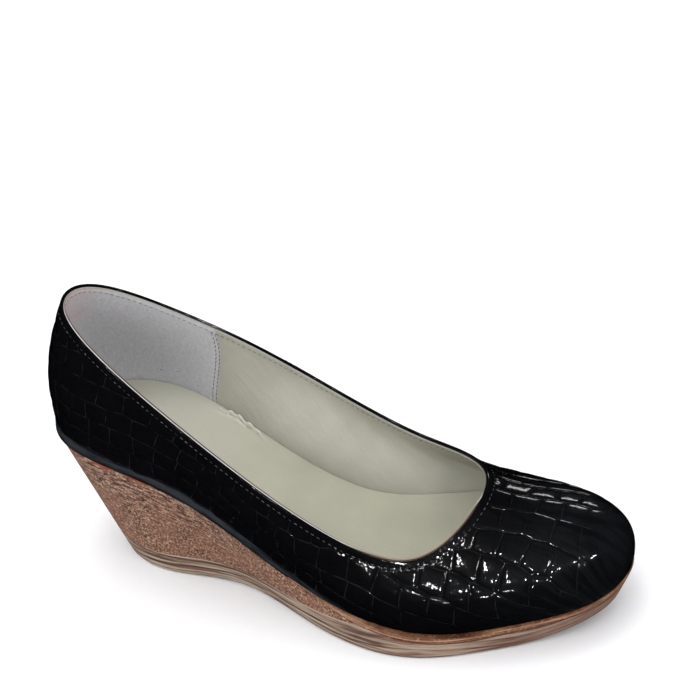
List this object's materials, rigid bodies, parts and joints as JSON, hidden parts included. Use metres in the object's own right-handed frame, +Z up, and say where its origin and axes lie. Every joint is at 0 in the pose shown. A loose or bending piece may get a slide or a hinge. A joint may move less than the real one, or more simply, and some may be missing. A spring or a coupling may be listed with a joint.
{
  "type": "platform shoe",
  "caption": "Slip-on platform pump for the right foot: a hollow scale-embossed patent leather upper, open at the topline, on a cork wedge heel with a thin platform.",
  "frame": {"origin": "on the floor, under the middle of the shoe's box", "axes": "+X to the toe, +Y to the medial side, +Z up"},
  "size_m": [0.247, 0.0892, 0.1211],
  "materials": {
    "patent_leather": "high gloss patent with an embossed scale pattern",
    "sock_leather": "matt, soft grain",
    "stained_board": "satin, stained edge",
    "cork": "matt, granular with fibres",
    "streaked_board": "matt, streaked lengthwise"
  },
  "bodies": {
    "root": {"upper": "patent_leather", "insole": "sock_leather", "rand": "stained_board", "wedge": "cork", "outsole": "streaked_board"}
  },
  "joints": []
}
